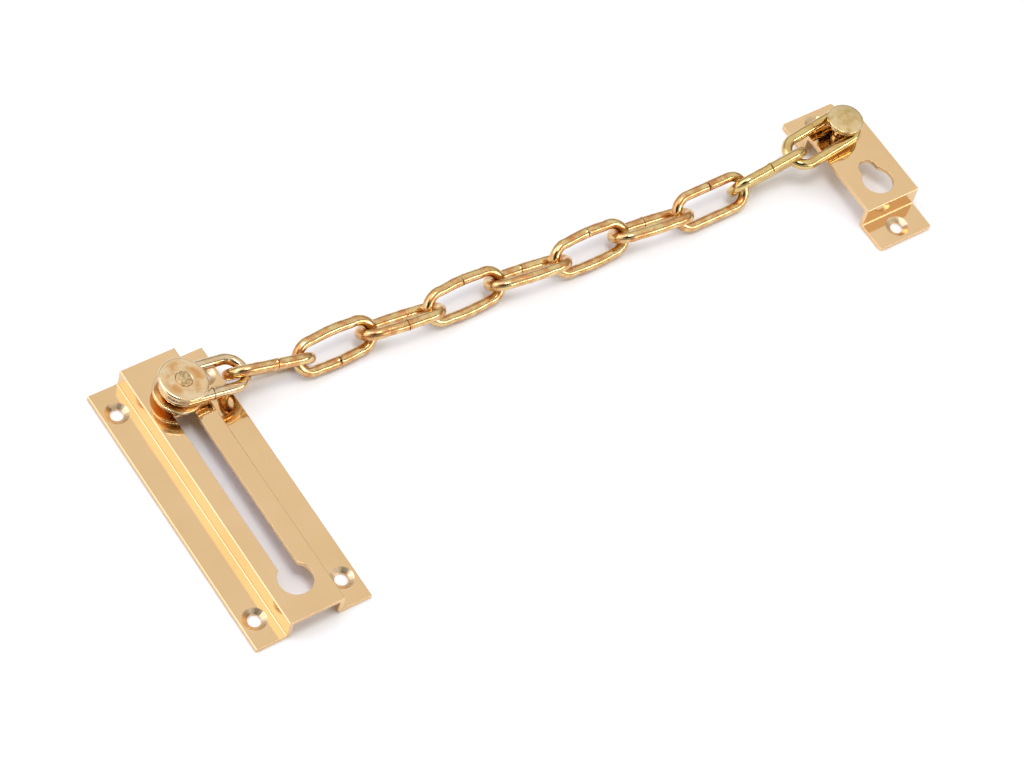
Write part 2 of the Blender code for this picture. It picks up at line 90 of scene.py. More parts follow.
# Runner, along its own leaning axis from the middle of the plate's thickness
RUNNER_FROM_TOP = 15.6
RUNNER_SHIFT = 0.65
RUNNER_LEAN = 9.5
RUNNER_DIP = 3.4
NECK_RADIUS = 2.0
FOOT_RADIUS = 5.3
FOOT_THICKNESS = 1.5
COLLAR_RADIUS = 8.0
COLLAR_THICKNESS = 1.3
SPIGOT_RADIUS = 3.0
LINK_GROOVE = 4.7
CAP_RADIUS = 8.1
CAP_THICKNESS = 2.1
CAP_EDGE = 0.85
CAP_BORE = 2.05
TENON_RADIUS = 1.75
TURNED_STEPS = 128
TURNED_EDGE = 0.3

# End of the spigot, hammered over the cap
PEEN_RADIUS = 2.6
PEEN_HEIGHT = 0.5
PEEN_SMOOTH_SHARE = 0.55  # share of the height that is there under the hammer's dents
PEEN_SHOULDER = 0.8  # share of the radius where the button starts to fall to its edge
PEEN_LEAST = 0.02
PEEN_RINGS = 9
PEEN_ROUGH = 0.3
PEEN_SEAT_RADIUS = 2.95
PEEN_SEAT_DEPTH = 0.6
COARSE_DENTS = (1.1, 3.0)  # scale of the noise and the height that it is read at
FINE_DENTS = (2.3, 7.0)
FINE_DENTS_SHARE = 0.6
SPLIT_AT = -140.0  # degrees round the button
SPLIT_DEPTH = 0.3
SPLIT_WIDTH = 0.07  # share of the radius

# Links
LINK_COUNT = 11
WIRE = 3.6  # a round wire between the solids' thickness over corners and over flats
WIRE_STEPS = 36
LINK_INNER_LENGTH = 24.2
LINK_INNER_WIDTH = 7.1
BUTT_GAP = 0.12
BUTT_EDGE = 0.18
BUTT_SLOPE = 0.7  # length of the rounding at a cut end to its depth
BEND_STEPS = 28
STRAIGHT_STEPS = 14
BUTT_ON_HIGH_SIDE = (2, 4, 5, 7, 9, 10, 11)  # the others have it on the low side
PINCHED_LINKS = range(3, 9)  # the outer ones need their full width where they swing
END_PINCH = 0.45
WAVE_HEIGHT = 0.035
WAVE_SCALE = 0.22
WAVE_REACH = 50.0  # how far apart the waves of two links may start
WORN_LINKS = (9, 10)  # they press on each other at the end of a swing
WEAR = 0.09
BURR = 0.5
BURR_REACH = 1.0
BURR_FROM_BUTT = 0.35
BURR_LENGTH = 0.22
BURR_SPREAD = 35.0  # degrees round the wire
BURR_TURN = 60.0  # most degrees between a burr and the upper or under side of its link
SECOND_BURR = 0.7
YELLOW_LINKS = 2  # the last ones, by the keeper

# Keeper
KEEPER_LENGTH = 57.2
KEEPER_WIDTH = 21.5
KEEPER_FLANGE = 10.7
KEEPER_HEIGHT = 9.5
KEEPER_CORNER = 1.0
KEEPER_HOLE_FROM_END = 5.25
STUD_FROM_RAISED_END = 4.96
KEEPER_NARROW_RADIUS = 3.32
KEEPER_WIDE_FROM_RAISED_END = 9.18
KEEPER_NARROW_TO_WIDE = 5.43
KEEPER_WIDE_RADIUS = 5.45
STUD_SHANK_RADIUS = 2.5
STUD_HEAD_RADIUS = 6.1
STUD_HEAD_TOP = 18.0
STUD_HEAD_EDGE = 1.6
STUD_HEAD_DOME = 0.7
STUD_DOME_RINGS = 10
STUD_TENON_RADIUS = 1.8
STUD_TAIL_RADIUS = 2.9
STUD_TAIL_THICKNESS = 1.2

# Camera of the photograph, fitted to the plates' corners
CAMERA_PLACE = (-0.50902, -0.43397, 0.91669)
CAMERA_TURN = (34.0455, -10.4907, -33.6207)
CAMERA_LENS = 125.417
CAMERA_SENSOR = 36.0

# Tones of the brass, each as the one where the mask is 0 and the one where it is 1
SHEET_TONES = ((0.78, 0.525, 0.27), (0.83, 0.572, 0.312))
SUNK_TONES = ((0.76, 0.53, 0.29), (0.86, 0.66, 0.42))
HAMMERED_TONES = ((0.45, 0.27, 0.11), (0.86, 0.66, 0.38))
PALE_WIRE_TONES = ((0.66, 0.43, 0.22), (0.76, 0.60, 0.37))
COPPER_WIRE_TONES = ((0.60, 0.27, 0.10), (0.77, 0.58, 0.27))
YELLOW_WIRE_TONES = ((0.66, 0.43, 0.16), (0.74, 0.56, 0.24))
RUNNER_TONES = ((0.80, 0.58, 0.31), (0.86, 0.68, 0.43))
RUNNER_STAIN = (0.70, 0.36, 0.13)
STUD_TONES = ((0.58, 0.40, 0.15), (0.76, 0.57, 0.29))
STUD_STAIN = (0.78, 0.60, 0.34)

# Floor, in metres
FLOOR_SIZE = 3.0
FLOOR_DROP = 0.0001
FLOOR_TONE = 0.98
FLOOR_ROUGHNESS = 0.7

# Light tent: how bright it is, and where each change of brightness starts and ends
TENT_SIDE = 0.3
TENT_TOP = 0.94
TENT_RISE = (0.05, 0.75)
LENS_SHADE = 0.04
LENS_REACH = (0.80, 0.95)
WALL_SIDE = (-0.87, 0.38, 0.3)
WALL_GLOW = 0.9
WALL_REACH = (0.78, 0.93)
FRONT_SIDE = (0.44, -0.76, 0.47)
FRONT_SHADE = 0.2
FRONT_REACH = (0.90, 0.97)

# Soft boxes, which all face the middle: place, width, height and power
BACK_CARD = ((-0.63, 0.53, 1.13), 0.9, 0.9, 4.05)
TOP_CARD = ((-0.12, -0.1, 1.5), 0.5, 0.5, 7.0)
FRONT_CARD = ((0.67, -1.21, 0.57), 1.2, 0.4, 7.5)
WHITE = (1.0, 1.0, 1.0)
COOL = (0.64, 0.70, 1.0)


# Shapes

def grown(shape, faces, way):
    """Extrudes faces by a vector and returns the new far vertices."""
    result = bmesh.ops.extrude_face_region(shape, geom=faces)
    moved = [part for part in result["geom"] if isinstance(part, bmesh.types.BMVert)]
    bmesh.ops.translate(shape, vec=way, verts=moved)
    return moved


def rounded(shape, edges, radius, steps):
    bmesh.ops.bevel(
        shape,
        geom=edges,
        offset=radius,
        offset_type="OFFSET",
        segments=steps,
        profile=0.5,
        affect="EDGES",
        material=-1,
        clamp_overlap=True,
    )


def mesh_of(shape, name):
    bmesh.ops.remove_doubles(shape, verts=shape.verts, dist=JOIN)
    bmesh.ops.recalc_face_normals(shape, faces=shape.faces)
    mesh = bpy.data.meshes.new(name)
    shape.to_mesh(mesh)
    shape.free()
    return mesh


def strip_corners(width, raised, height, edge):
    """Corners of a hat section with the radius that each fold has there, right flange first."""
    half = width / 2.0
    side = raised / 2.0
    inner = side - SHEET
    foot = FOLD_FOOT_RADIUS
    inner_foot = foot + SHEET * FOLD_INNER_FOOT
    top = FOLD_TOP_RADIUS
    right = [(half, 0.0, 0.0), (half, SHEET, edge), (side, SHEET, foot), (side, height, top)]
    left = [(-side, height, top), (-side, SHEET, foot), (-half, SHEET, edge), (-half, 0.0, 0.0)]
    under = [(-inner, 0.0, inner_foot), (-inner, height - SHEET, top)]
    under += [(inner, height - SHEET, top), (inner, 0.0, inner_foot)]
    return right + left + under


def folded_strip(length, width, raised, height, corner=0.0, edge=0.0):
    """A sheet folded to flange, web, raised part, web and flange, with the folds along y."""
    shape = bmesh.new()
    corners = strip_corners(width, raised, height, edge)
    ring = [shape.verts.new((x, -length / 2.0, z)) for x, z, _ in corners]
    grown(shape, [shape.faces.new(ring)], (0.0, length, 0.0))
    bmesh.ops.recalc_face_normals(shape, faces=shape.faces)
    if corner:
        ends = [line for line in shape.edges if upright_at(line, width / 2.0)]
        rounded(shape, ends, corner, FOLD_STEPS)
    for radius in sorted({radius for _, _, radius in corners if radius}):
        places = [(x, z) for x, z, own in corners if own == radius]
        folds = [line for line in shape.edges if runs_along(line, places)]
        rounded(shape, folds, radius, FOLD_STEPS)
    return mesh_of(shape, "folded strip")


def upright_at(edge, x):
    first, second = (vert.co for vert in edge.verts)
    level = abs(first.x - second.x) < JOIN and abs(first.y - second.y) < JOIN
    return level and abs(abs(first.x) - x) < JOIN


def runs_along(edge, places):
    """Whether an edge lies along y at one of the (x, z) places."""
    first, second = (vert.co for vert in edge.verts)
    if abs(first.x - second.x) > JOIN or abs(first.z - second.z) > JOIN:
        return False
    return any(abs(first.x - x) < JOIN and abs(first.z - z) < JOIN for x, z in places)


def cone_mesh(low_radius, high_radius, low, high, x=0.0, y=0.0):
    shape = bmesh.new()
    bmesh.ops.create_cone(
        shape,
        cap_ends=True,
        cap_tris=False,
        segments=HOLE_STEPS,
        radius1=low_radius,
        radius2=high_radius,
        depth=high - low,
        matrix=Matrix.Translation((x, y, (low + high) / 2.0)),
    )
    return mesh_of(shape, "cone")


def block_mesh(low, high):
    shape = bmesh.new()
    size = Vector(high) - Vector(low)
    centre = (Vector(high) + Vector(low)) / 2.0
    place = Matrix.Translation(centre) @ Matrix.Diagonal((*size, 1.0))
    bmesh.ops.create_cube(shape, size=1.0, matrix=place)
    return mesh_of(shape, "block")


def keyhole_cutters(narrow_y, narrow_radius, wide_y, wide_radius, low, high):
    slot = block_mesh(
        (-narrow_radius, min(narrow_y, wide_y), low),
        (narrow_radius, max(narrow_y, wide_y), high),
    )
    return [
        slot,
        cone_mesh(narrow_radius, narrow_radius, low, high, 0.0, narrow_y),
        cone_mesh(wide_radius, wide_radius, low, high, 0.0, wide_y),
    ]


def screw_cutters(x, y, sunk):
    """A through hole and the cone of its countersink, which gets the finish of the cutter."""
    seat = SHEET - COUNTERSINK_DEPTH
    slope = (COUNTERSINK_RADIUS - SCREW_HOLE_RADIUS) / COUNTERSINK_DEPTH
    top = SHEET + COUNTERSINK_OVER
    wide = COUNTERSINK_RADIUS + slope * COUNTERSINK_OVER
    cone = cone_mesh(SCREW_HOLE_RADIUS, wide, seat, top, x, y)
    cone.materials.append(sunk)
    return [cone_mesh(SCREW_HOLE_RADIUS, SCREW_HOLE_RADIUS, -CUT_OVER, top, x, y), cone]


def cut(mesh, cutters, material):
    """The mesh with each cutter taken out in turn."""
    mesh.materials.append(material)
    target = bpy.data.objects.new("blank", mesh)
    bpy.context.scene.collection.objects.link(target)
    tools = []
    for cutter_mesh in cutters:
        if not cutter_mesh.materials:
            cutter_mesh.materials.append(material)
        tool = bpy.data.objects.new("cutter", cutter_mesh)
        bpy.context.scene.collection.objects.link(tool)
        tools.append(tool)
        boolean = target.modifiers.new("cut", "BOOLEAN")
        boolean.operation = "DIFFERENCE"
        boolean.solver = "EXACT"
        boolean.material_mode = "TRANSFER"
        boolean.object = tool
    bpy.context.view_layer.update()
    seen = target.evaluated_get(bpy.context.evaluated_depsgraph_get())
    result = bpy.data.meshes.new_from_object(seen)
    for thing in [target] + tools:
        bpy.data.objects.remove(thing, do_unlink=True)
    return result


def softened(mesh):
    """Rounds every cut edge a little, so that it catches the light."""
    shape = bmesh.new()
    shape.from_mesh(mesh)
    bmesh.ops.remove_doubles(shape, verts=shape.verts, dist=JOIN)
    bmesh.ops.dissolve_degenerate(shape, edges=shape.edges, dist=JOIN)
    edges = []
    for edge in shape.edges:
        if edge.is_manifold and math.degrees(edge.calc_face_angle()) > RIM_ANGLE:
            edges.append(edge)
    rounded(shape, edges, RIM, RIM_STEPS)
    bmesh.ops.recalc_face_normals(shape, faces=shape.faces)
    shape.to_mesh(mesh)
    shape.free()
    return mesh


def turned_mesh(profile, edge=TURNED_EDGE):
    """Spins a (radius, height) profile about z and rounds its corners."""
    shape = bmesh.new()
    points = [shape.verts.new((radius, 0.0, height)) for radius, height in profile]
    lines = [shape.edges.new(pair) for pair in zip(points, points[1:])]
    if profile[0][0] > 0.0:
        lines.append(shape.edges.new((points[-1], points[0])))
    bmesh.ops.spin(
        shape,
        geom=points + lines,
        cent=(0.0, 0.0, 0.0),
        axis=(0.0, 0.0, 1.0),
        angle=2.0 * math.pi,
        steps=TURNED_STEPS,
        use_merge=True,
    )
    bmesh.ops.remove_doubles(shape, verts=shape.verts, dist=JOIN)
    bmesh.ops.recalc_face_normals(shape, faces=shape.faces)
    if edge:
        corners = []
        for line in shape.edges:
            if line.is_manifold and math.degrees(line.calc_face_angle()) > RIM_ANGLE:
                corners.append(line)
        rounded(shape, corners, edge, RIM_STEPS)
    return mesh_of(shape, "turned")


def arc(centre_x, centre_y, radius, start, end, steps):
    points = []
    for step in range(steps + 1):
        angle = math.radians(start + (end - start) * step / steps)
        points.append((centre_x + radius * math.cos(angle), centre_y + radius * math.sin(angle)))
    return points


def leaning(pitch, roll):
    return Euler((math.radians(roll), math.radians(pitch), 0.0), "XYZ").to_matrix().to_4x4()


# Pieces

def piece(name, mesh, place, materials, body, slot, *nodes):
    """Brings a mesh in millimetres to its place in metres and ties it to its body."""
    mesh.transform(Matrix.Scale(MM, 4) @ place)
    if materials:
        mesh.materials.clear()
        for material in materials:
            mesh.materials.append(material)
    for face in mesh.polygons:
        face.use_smooth = True
    mesh.set_sharp_from_angle(angle=math.radians(SHARP))
    thing = bpy.data.objects.new(name, mesh)
    bpy.context.scene.collection.objects.link(thing)
    weighted = thing.modifiers.new("flat faces stay flat", "WEIGHTED_NORMAL")
    weighted.keep_sharp = True
    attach(thing, body)
    if nodes:
        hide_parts(*nodes)
    return thing


def make_slide_plate(plate, brass, sunk):
    mesh = folded_strip(PLATE_LENGTH, PLATE_WIDTH, CHANNEL_WIDTH, CHANNEL_HEIGHT, edge=ROLLED_EDGE)
    hole_x = PLATE_WIDTH / 2.0 - SCREW_FROM_SIDE
    hole_y = PLATE_LENGTH / 2.0 - SCREW_FROM_END
    cutters = []
    for x in (-hole_x, hole_x):
        for y in (-hole_y, hole_y):
            cutters += screw_cutters(x, y, sunk)
    low = CHANNEL_HEIGHT - 2.0 * SHEET
    high = CHANNEL_HEIGHT + CUT_OVER
    slot_y = PLATE_LENGTH / 2.0 - RUNNER_FROM_TOP + AIR
    keyhole_y = KEYHOLE_FROM_BOTTOM - PLATE_LENGTH / 2.0
    cutters += keyhole_cutters(slot_y, SLOT_WIDTH / 2.0, keyhole_y, KEYHOLE_RADIUS, low, high)
    mesh = softened(cut(mesh, cutters, brass))
    place = Matrix.Translation(plate)
    piece("slide_plate_folded", mesh, place, (), "slide_plate", "polished_brass", "slide_plate")


def make_keeper_plate(stud, brass, sunk):
    raised = KEEPER_LENGTH - 2.0 * KEEPER_FLANGE
    stud_y = raised / 2.0 - STUD_FROM_RAISED_END
    mesh = folded_strip(KEEPER_WIDTH, KEEPER_LENGTH, raised, KEEPER_HEIGHT, KEEPER_CORNER)
    mesh.transform(Matrix.Rotation(math.radians(90.0), 4, "Z"))
    hole_y = KEEPER_LENGTH / 2.0 - KEEPER_HOLE_FROM_END
    cutters = screw_cutters(0.0, -hole_y, sunk) + screw_cutters(0.0, hole_y, sunk)
    low = KEEPER_HEIGHT - 2.0 * SHEET
    high = KEEPER_HEIGHT + CUT_OVER
    wide_y = KEEPER_WIDE_FROM_RAISED_END - raised / 2.0
    narrow_y = wide_y + KEEPER_NARROW_TO_WIDE
    cutters += keyhole_cutters(narrow_y, KEEPER_NARROW_RADIUS, wide_y, KEEPER_WIDE_RADIUS, low, high)
    tenon = STUD_TENON_RADIUS + AIR
    cutters.append(cone_mesh(tenon, tenon, low, high, 0.0, stud_y))
    mesh = softened(cut(mesh, cutters, brass))
    place = Matrix.Translation(stud + Vector((0.0, -stud_y, 0.0)))
    piece("keeper_plate_folded", mesh, place, (), "keeper", "polished_brass", "keeper_plate")


def make_stud(stud, pale):
    tail_top = KEEPER_HEIGHT - SHEET - AIR
    tail_low = tail_top - STUD_TAIL_THICKNESS
    edge_top = STUD_HEAD_TOP - STUD_HEAD_DOME
    head_low = edge_top - STUD_HEAD_EDGE
    profile = [(0.0, tail_low), (STUD_TAIL_RADIUS, tail_low), (STUD_TAIL_RADIUS, tail_top)]
    profile += [(STUD_TENON_RADIUS, tail_top), (STUD_TENON_RADIUS, KEEPER_HEIGHT + AIR)]
    profile += [(STUD_SHANK_RADIUS, KEEPER_HEIGHT + AIR), (STUD_SHANK_RADIUS, head_low)]
    profile += [(STUD_HEAD_RADIUS, head_low), (STUD_HEAD_RADIUS, edge_top)]
    for ring in range(1, STUD_DOME_RINGS):
        share = 1.0 - ring / STUD_DOME_RINGS
        profile.append((STUD_HEAD_RADIUS * share, STUD_HEAD_TOP - STUD_HEAD_DOME * share ** 2))
    profile.append((0.0, STUD_HEAD_TOP))
    mesh = turned_mesh(profile)
    place = Matrix.Translation(stud)
    piece("keeper_stud_turned", mesh, place, (pale,), "keeper", "pale_brass", "keeper_stud")


def runner_heights():
    lean = math.radians(RUNNER_LEAN)
    half_sheet = SHEET / 2.0 + AIR
    collar_low = (half_sheet + COLLAR_RADIUS * math.sin(lean)) / math.cos(lean)
    foot_top = -(half_sheet + FOOT_RADIUS * math.sin(lean)) / math.cos(lean)
    collar_top = collar_low + COLLAR_THICKNESS
    return foot_top, collar_low, collar_top, collar_top + LINK_GROOVE


def make_runner(place, pale, hammered):
    foot_top, collar_low, collar_top, cap_low = runner_heights()
    foot_low = foot_top - FOOT_THICKNESS
    cap_top = cap_low + CAP_THICKNESS
    profile = [(0.0, foot_low), (FOOT_RADIUS, foot_low), (FOOT_RADIUS, foot_top), (NECK_RADIUS, foot_top)]
    profile += [(NECK_RADIUS, collar_low), (COLLAR_RADIUS, collar_low), (COLLAR_RADIUS, collar_top)]
    profile += [(SPIGOT_RADIUS, collar_top), (SPIGOT_RADIUS, cap_low - AIR), (TENON_RADIUS, cap_low - AIR)]
    profile += [(TENON_RADIUS, cap_top), (0.0, cap_top)]
    body = turned_mesh(profile, COLLAR_THICKNESS / RIM_STEPS)
    piece("runner_body_turned", body, place, (pale,), "runner", "pale_brass", "runner_body")
    flat = CAP_RADIUS - CAP_EDGE
    profile = [(CAP_BORE, cap_low), (flat, cap_low)]
    profile += arc(flat, cap_low + CAP_EDGE / 2.0, CAP_EDGE / 2.0, -90.0, 0.0, RIM_STEPS)
    profile += arc(flat, cap_top - CAP_EDGE, CAP_EDGE, 0.0, 90.0, FOLD_STEPS)
    profile += [(PEEN_SEAT_RADIUS, cap_top), (CAP_BORE, cap_top - PEEN_SEAT_DEPTH)]
    cap = turned_mesh(profile, 0.0)
    piece("runner_cap_turned", cap, place, (pale,), "runner", "pale_brass", "runner_cap")
    peen = peened_mesh()
    peen.transform(Matrix.Translation((0.0, 0.0, cap_top)))
    piece("runner_peened_end", peen, place, (hammered,), "runner", "pale_brass")


def peened_mesh():
    """The end of the spigot hammered over the cap: a ragged low button with a split at one side."""
    shape = bmesh.new()
    bmesh.ops.create_circle(shape, cap_ends=True, radius=PEEN_RADIUS, segments=WIRE_STEPS * 2)
    face = shape.faces[:][0]
    step = PEEN_RADIUS / (PEEN_RINGS + 1)
    for _ in range(PEEN_RINGS):
        bmesh.ops.inset_region(shape, faces=[face], thickness=step, use_even_offset=True)
    bmesh.ops.poke(shape, faces=[face])
    for vert in shape.verts:
        vert.co.z = peen_height(vert.co)
    rim = [edge for edge in shape.edges if edge.is_boundary]
    down = bmesh.ops.extrude_edge_only(shape, edges=rim)
    lower = [part for part in down["geom"] if isinstance(part, bmesh.types.BMVert)]
    for vert in lower:
        vert.co.z = -PEEN_SEAT_DEPTH
    bmesh.ops.holes_fill(shape, edges=[edge for edge in shape.edges if edge.is_boundary])
    return mesh_of(shape, "peened end")


def peen_height(point):
    """Height of the hammered end over the cap at a point of its plan."""
    share = point.length / PEEN_RADIUS
    edge = 1.0 - max(0.0, (share - PEEN_SHOULDER) / (1.0 - PEEN_SHOULDER)) ** 2
    ragged = dents(point, *COARSE_DENTS) + FINE_DENTS_SHARE * dents(point, *FINE_DENTS)
    angle = math.degrees(math.atan2(point.y, point.x))
    split = math.exp(-((share - PEEN_SHOULDER) / SPLIT_WIDTH) ** 2)
    around = max(0.0, math.cos(math.radians(angle - SPLIT_AT)))
    height = PEEN_HEIGHT * PEEN_SMOOTH_SHARE * edge + PEEN_ROUGH * ragged * (1.0 - share ** 4)
    return max(PEEN_LEAST, height - SPLIT_DEPTH * split * around)


def dents(point, scale, level):
    return noise.noise(Vector((point.x * scale, point.y * scale, level)))


def link_mesh(number):
    """One bent wire: a ring of points carried from one butted end round to the other."""
    bend = (LINK_INNER_WIDTH + WIRE) / 2.0
    half_straight = (LINK_INNER_LENGTH + WIRE) / 2.0 - bend
    start = BUTT_GAP / 2.0
    slope = BUTT_EDGE * BUTT_SLOPE
    shape = bmesh.new()
    upright = Matrix.Rotation(math.radians(90.0), 4, "Y")
    ring = bmesh.ops.create_circle(
        shape,
        cap_ends=False,
        radius=WIRE / 2.0 - BUTT_EDGE,
        segments=WIRE_STEPS,
        matrix=Matrix.Translation((-start, -bend, 0.0)) @ upright,
    )
    edges = in_order(edge for vert in ring["verts"] for edge in vert.link_edges)
    bmesh.ops.holes_fill(shape, edges=edges)
    edges = carried(shape, edges, -slope, 1)
    resize_ring(edges, -bend, (WIRE / 2.0) / (WIRE / 2.0 - BUTT_EDGE))
    edges = carried(shape, edges, -(half_straight - start - slope), STRAIGHT_STEPS)
    edges = bent(shape, edges, (-half_straight, 0.0, 0.0))
    edges = carried(shape, edges, 2.0 * half_straight, 2 * STRAIGHT_STEPS)
    edges = bent(shape, edges, (half_straight, 0.0, 0.0))
    edges = carried(shape, edges, -(half_straight - start - slope), STRAIGHT_STEPS)
    edges = carried(shape, edges, -slope, 1)
    resize_ring(edges, -bend, (WIRE / 2.0 - BUTT_EDGE) / (WIRE / 2.0))
    bmesh.ops.holes_fill(shape, edges=edges)
    make_uneven(shape, number, bend)
    return mesh_of(shape, "link")


def in_order(parts):
    """Each part once, in the order of its first place, so that every run builds the same mesh."""
    return list(dict.fromkeys(parts))


def carried(shape, edges, distance, steps):
    """Extrudes an open ring of edges along x in even steps and returns the last ring."""
    for _ in range(steps):
        result = bmesh.ops.extrude_edge_only(shape, edges=edges)
        points = [part for part in result["geom"] if isinstance(part, bmesh.types.BMVert)]
        edges = [part for part in result["geom"] if isinstance(part, bmesh.types.BMEdge)]
        edges = [edge for edge in edges if edge.verts[0] in points and edge.verts[1] in points]
        bmesh.ops.translate(shape, vec=(distance / steps, 0.0, 0.0), verts=points)
    return edges


def bent(shape, edges, centre):
    """Sweeps an open ring of edges half a turn about a centre and returns the last ring."""
    points = in_order(vert for edge in edges for vert in edge.verts)
    result = bmesh.ops.spin(
        shape,
        geom=points + edges,
        cent=centre,
        axis=(0.0, 0.0, -1.0),
        angle=math.pi,
        steps=BEND_STEPS,
        use_merge=False,
    )
    last = result["geom_last"]
    return [part for part in last if isinstance(part, bmesh.types.BMEdge)]


def resize_ring(edges, middle_y, share):
    """Scales a ring of edges that stands across x about its middle."""
    for vert in in_order(vert for edge in edges for vert in edge.verts):
        vert.co.y = middle_y + (vert.co.y - middle_y) * share
        vert.co.z *= share


def make_uneven(shape, number, bend):
    """What the bending machine leaves: a slight wave, narrowed ends and burrs beside the butt."""
    picker = random.Random(number)
    burr_angle = picker.uniform(-BURR_TURN, BURR_TURN)
    offset = Vector((picker.uniform(0.0, WAVE_REACH), picker.uniform(0.0, WAVE_REACH), 0.0))
    burr = BURR if number < LINK_COUNT else 0.0
    for vert in shape.verts:
        if number in PINCHED_LINKS:
            vert.co.z += WAVE_HEIGHT * noise.noise(vert.co * WAVE_SCALE + offset)
            along = min(1.0, abs(vert.co.x) / LINK_INNER_WIDTH)
            rail = max(-1.0, min(1.0, vert.co.y / bend))
            vert.co.y -= END_PINCH * rail * along ** 2
        if vert.co.y < 0.0 and abs(vert.co.x) < BURR_REACH:
            vert.co += burr_at(vert.co, burr, burr_angle, bend)


def burr_at(point, burr, burr_angle, bend):
    """How far the burrs beside the butt push a point of the wire outwards."""
    out = Vector((0.0, point.y + bend, point.z))
    if out.length <= JOIN:
        return Vector((0.0, 0.0, 0.0))
    near = math.exp(-((abs(point.x) - BURR_FROM_BUTT) / BURR_LENGTH) ** 2)
    around = math.degrees(math.atan2(point.z, point.y + bend))
    patch = math.exp(-((around - 90.0 - burr_angle) / BURR_SPREAD) ** 2)
    patch += SECOND_BURR * math.exp(-((around + 90.0 - burr_angle) / BURR_SPREAD) ** 2)
    return out.normalized() * burr * near * patch


def link_place(node, joint_side):
    """Place of a link from its CAD solid: x along it, z across its plane, the butt at -y."""
    flat = np.empty(len(node.data.vertices) * 3)
    node.data.vertices.foreach_get("co", flat)
    points = np.unique(np.round(flat.reshape(-1, 3) / MM, 4), axis=0)
    spread = points - points.mean(axis=0)
    axes = np.linalg.eigh(spread.T @ spread)[1]
    along = axes[:, 2] * (1.0 if axes[0, 2] > 0.0 else -1.0)
    across = axes[:, 1] * (1.0 if joint_side @ axes[:, 1] > 0.0 else -1.0)
    upward = np.cross(along, across)
    basis = np.stack([along, across, upward])
    inside = points @ basis.T
    middle = (inside.min(axis=0) + inside.max(axis=0)) / 2.0
    centre = middle @ basis
    place = Matrix.Identity(4)
    for row in range(3):
        place[row][0] = along[row]
        place[row][1] = across[row]
        place[row][2] = upward[row]
        place[row][3] = centre[row]
    return place


def worn(mesh):
    """Takes a little off a wire all round."""
    normals = [vert.normal.copy() for vert in mesh.vertices]
    for vert, normal in zip(mesh.vertices, normals):
        vert.co -= normal * WEAR


def keep_off_table(mesh, place):
    """Lifts what an uneven wire would press into the table."""
    back = place.to_3x3().inverted()
    for vert in mesh.vertices:
        height = (place @ vert.co).z
        if height < 0.0:
            vert.co += back @ Vector((0.0, 0.0, -height))


def make_links(nodes, wires):
    up = np.array([0.0, 0.0, 1.0])
    for number in range(1, LINK_COUNT + 1):
        side = -up if number in BUTT_ON_HIGH_SIDE else up
        name = "%02d" % number
        node = "chain_link_" + name
        place = link_place(nodes[node], side)
        mesh = link_mesh(number)
        if number in WORN_LINKS:
            worn(mesh)
        keep_off_table(mesh, place)
        wire = (wires[number - 1],)
        piece("link_wire_" + name, mesh, place, wire, "link_" + name, "chain_brass", node)


# Finishes

def node_in(tree, kind, x, y, **settings):
    node = tree.nodes.new(kind)
    node.location = (x, y)
    for key, value in settings.items():
        setattr(node, key, value)
    return node


def new_group(name, inputs, outputs):
    tree = bpy.data.node_groups.new(name, "ShaderNodeTree")
    for label, kind, value in inputs:
        socket = tree.interface.new_socket(name=label, in_out="INPUT", socket_type=kind)
        if value is not None:
            socket.default_value = value
    for label, kind in outputs:
        tree.interface.new_socket(name=label, in_out="OUTPUT", socket_type=kind)
    return tree, node_in(tree, "NodeGroupInput", -900, 0), node_in(tree, "NodeGroupOutput", 700, 0)


def handling_group():
    """Uneven tone in soft blotches and the fine grain that polishing leaves."""
    inputs = [
        ("Vector", "NodeSocketVector", None),
        ("Blotch Scale", "NodeSocketFloat", 90.0),
        ("Grain Scale", "NodeSocketFloat", 2500.0),
        ("Grain Stretch", "NodeSocketVector", (1.0, 1.0, 1.0)),
    ]
    outputs = [("Blotch", "NodeSocketFloat"), ("Grain", "NodeSocketFloat")]
    tree, source, target = new_group("handling", inputs, outputs)
    blotch = node_in(tree, "ShaderNodeTexNoise", -400, 150)
    blotch.inputs["Detail"].default_value = 3.0
    blotch.inputs["Roughness"].default_value = 0.55
    spread = node_in(tree, "ShaderNodeMapRange", -150, 150)
    spread.inputs["From Min"].default_value = 0.35
    spread.inputs["From Max"].default_value = 0.65
    stretch = node_in(tree, "ShaderNodeVectorMath", -650, -150, operation="MULTIPLY")
    grain = node_in(tree, "ShaderNodeTexNoise", -400, -150)
    grain.inputs["Detail"].default_value = 4.0
    tree.links.new(source.outputs["Vector"], blotch.inputs["Vector"])
    tree.links.new(source.outputs["Blotch Scale"], blotch.inputs["Scale"])
    tree.links.new(blotch.outputs[0], spread.inputs["Value"])
    tree.links.new(spread.outputs["Result"], target.inputs["Blotch"])
    tree.links.new(source.outputs["Vector"], stretch.inputs[0])
    tree.links.new(source.outputs["Grain Stretch"], stretch.inputs[1])
    tree.links.new(stretch.outputs[0], grain.inputs["Vector"])
    tree.links.new(source.outputs["Grain Scale"], grain.inputs["Scale"])
    tree.links.new(grain.outputs[0], target.inputs["Grain"])
    return tree


